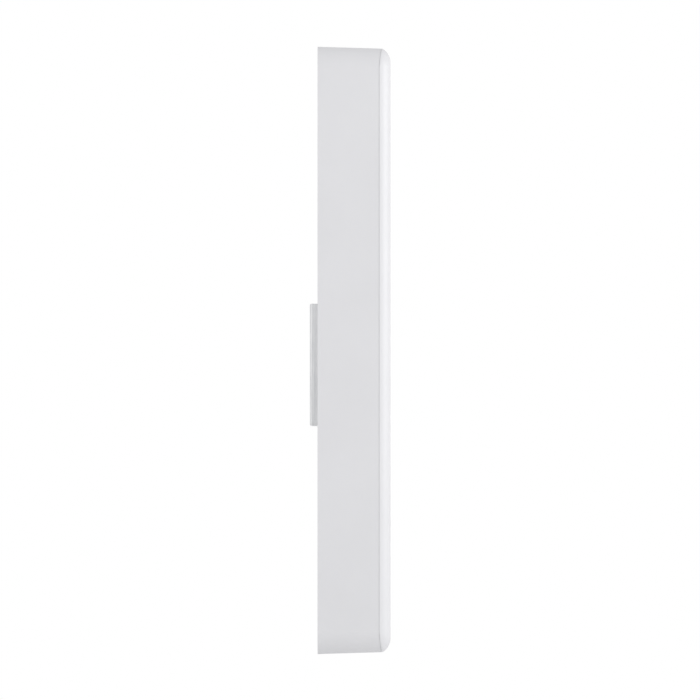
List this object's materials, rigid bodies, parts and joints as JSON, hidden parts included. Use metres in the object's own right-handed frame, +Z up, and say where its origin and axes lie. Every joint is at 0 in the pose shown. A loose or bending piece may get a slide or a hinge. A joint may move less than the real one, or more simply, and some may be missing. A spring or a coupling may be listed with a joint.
{
  "type": "wall battery unit",
  "caption": "Slim white home battery on a steel wall bracket, with a lift-off front cover, side wiring hatch, sealed cell chassis, cooling fans and side switch.",
  "frame": {"origin": "centre of the wall bracket's four fixings, on the wall plane", "axes": "+Z up, +Y into the wall, +X to the right seen from the front; the front face looks along -Y"},
  "size_m": [0.755, 0.153, 1.15],
  "materials": {
    "white_shell": "satin white paint over moulded plastic",
    "bracket_steel": "galvanised, fine vertical grain",
    "cast_aluminium": "sand cast, bead blasted",
    "sheet_aluminium": "mill finish sheet",
    "extruded_sink": "black anodised",
    "zinc_steel": "bright zinc plate",
    "stainless": "plain stainless",
    "spring_steel": "blued",
    "gasket_rubber": "foamed, matt",
    "cell_case": "wrapped in insulating film",
    "terminal_metal": "bright",
    "copper": "bare copper",
    "frame_plastic": "moulded, black",
    "board_green": "solder resist",
    "thermal_pad": "soft silicone",
    "component_black": "moulded epoxy",
    "ferrite": "sintered",
    "winding": "enamelled wire",
    "cable_insulation": "smooth",
    "wire_insulation": "smooth",
    "fan_plastic": "moulded glass-filled nylon",
    "box_plastic": "moulded, light texture",
    "block_plastic": "moulded",
    "lever_plastic": "moulded",
    "breaker_plastic": "moulded",
    "toggle_plastic": "moulded",
    "panel_plastic": "smoked, polished",
    "switch_plastic": "moulded",
    "light_guide": "frosted acrylic"
  },
  "bodies": {
    "bracket": {"wall_bracket": "bracket_steel"},
    "enclosure": {"hanging_lugs": "zinc_steel", "lug_screws": "stainless", "rear_chassis": "cast_aluminium", "lid_gasket": "gasket_rubber", "chassis_lid": "sheet_aluminium", "lid_screws": "stainless", "heat_sink": "extruded_sink", "heat_sink_screws": "stainless", "battery_cells": "cell_case", "cell_terminals": "terminal_metal", "busbars": "copper", "module_frames": "frame_plastic", "module_bolts": "zinc_steel", "thermal_pads": "thermal_pad", "sense_boards": "board_green", "power_board": "board_green", "control_board": "board_green", "board_standoffs": "zinc_steel", "capacitors": "component_black", "inductor_cores": "ferrite", "inductor_windings": "winding", "relays": "component_black", "heat_spreader": "sheet_aluminium", "power_modules": "component_black", "control_components": "component_black", "contactors": "component_black", "main_fuse": "block_plastic", "dc_cables": "cable_insulation", "side_shroud": "white_shell", "shroud_screws": "stainless", "rear_panel": "sheet_aluminium", "cover_clips": "spring_steel", "fan_frames": "fan_plastic", "fan_tray": "sheet_aluminium", "fan_guards": "zinc_steel", "wiring_box": "box_plastic", "gland_plate": "box_plastic", "box_gasket": "gasket_rubber", "terminal_block": "block_plastic", "din_rail": "zinc_steel", "circuit_breaker": "breaker_plastic", "ac_wires": "wire_insulation", "conduit_plug": "frame_plastic", "control_panel": "panel_plastic", "status_light_guide": "light_guide", "control_pcb": "board_green", "rocker_housing": "switch_plastic"},
    "cover": {"front_cover": "white_shell"},
    "side_cover": {"wiring_cover": "white_shell", "wiring_cover_screws": "stainless"},
    "rocker": {"rocker": "switch_plastic"},
    "reset_button": {"reset_button": "switch_plastic"},
    "fan_left": {"fan_rotor_left": "fan_plastic"},
    "fan_right": {"fan_rotor_right": "fan_plastic"},
    "lever_1": {"terminal_lever_1": "lever_plastic"},
    "lever_2": {"terminal_lever_2": "lever_plastic"},
    "lever_3": {"terminal_lever_3": "lever_plastic"},
    "lever_4": {"terminal_lever_4": "lever_plastic"},
    "toggle": {"breaker_toggle": "toggle_plastic"}
  },
  "joints": [
    {"name": "unit_lift", "type": "slide", "parent": "bracket", "child": "enclosure", "axis": [0, 0, 1], "range_m": [0, 0.03]},
    {"name": "cover_pull", "type": "slide", "parent": "enclosure", "child": "cover", "axis": [0, -1, 0], "range_m": [0, 0.2]},
    {"name": "side_cover_pull", "type": "slide", "parent": "enclosure", "child": "side_cover", "axis": [1, 0, 0], "range_m": [0, 0.12]},
    {"name": "rocker_tilt", "type": "hinge", "parent": "enclosure", "child": "rocker", "pos_m": [0.37192, -0.075, -0.0325], "axis": [0, -1, 0], "range_deg": [0, 20]},
    {"name": "reset_press", "type": "slide", "parent": "enclosure", "child": "reset_button", "axis": [-1, 0, 0], "range_m": [0, 0.002], "stiffness_N_per_m": 300, "springref_m": -0.001},
    {"name": "fan_left_spin", "type": "hinge", "parent": "enclosure", "child": "fan_left", "pos_m": [-0.19, -0.075, -0.4905], "axis": [0, 0, 1], "continuous": true},
    {"name": "fan_right_spin", "type": "hinge", "parent": "enclosure", "child": "fan_right", "pos_m": [0.07, -0.075, -0.4905], "axis": [0, 0, 1], "continuous": true},
    {"name": "lever_1_hinge", "type": "hinge", "parent": "enclosure", "child": "lever_1", "pos_m": [0.3104, -0.048, -0.1785], "axis": [0, -1, 0], "range_deg": [0, 80]},
    {"name": "lever_2_hinge", "type": "hinge", "parent": "enclosure", "child": "lever_2", "pos_m": [0.3104, -0.066, -0.1785], "axis": [0, -1, 0], "range_deg": [0, 80]},
    {"name": "lever_3_hinge", "type": "hinge", "parent": "enclosure", "child": "lever_3", "pos_m": [0.3104, -0.084, -0.1785], "axis": [0, -1, 0], "range_deg": [0, 80]},
    {"name": "lever_4_hinge", "type": "hinge", "parent": "enclosure", "child": "lever_4", "pos_m": [0.3104, -0.102, -0.1785], "axis": [0, -1, 0], "range_deg": [0, 80]},
    {"name": "toggle_throw", "type": "hinge", "parent": "enclosure", "child": "toggle", "pos_m": [0.341, -0.075, -0.31], "axis": [0, 1, 0], "range_deg": [0, 60]}
  ]
}
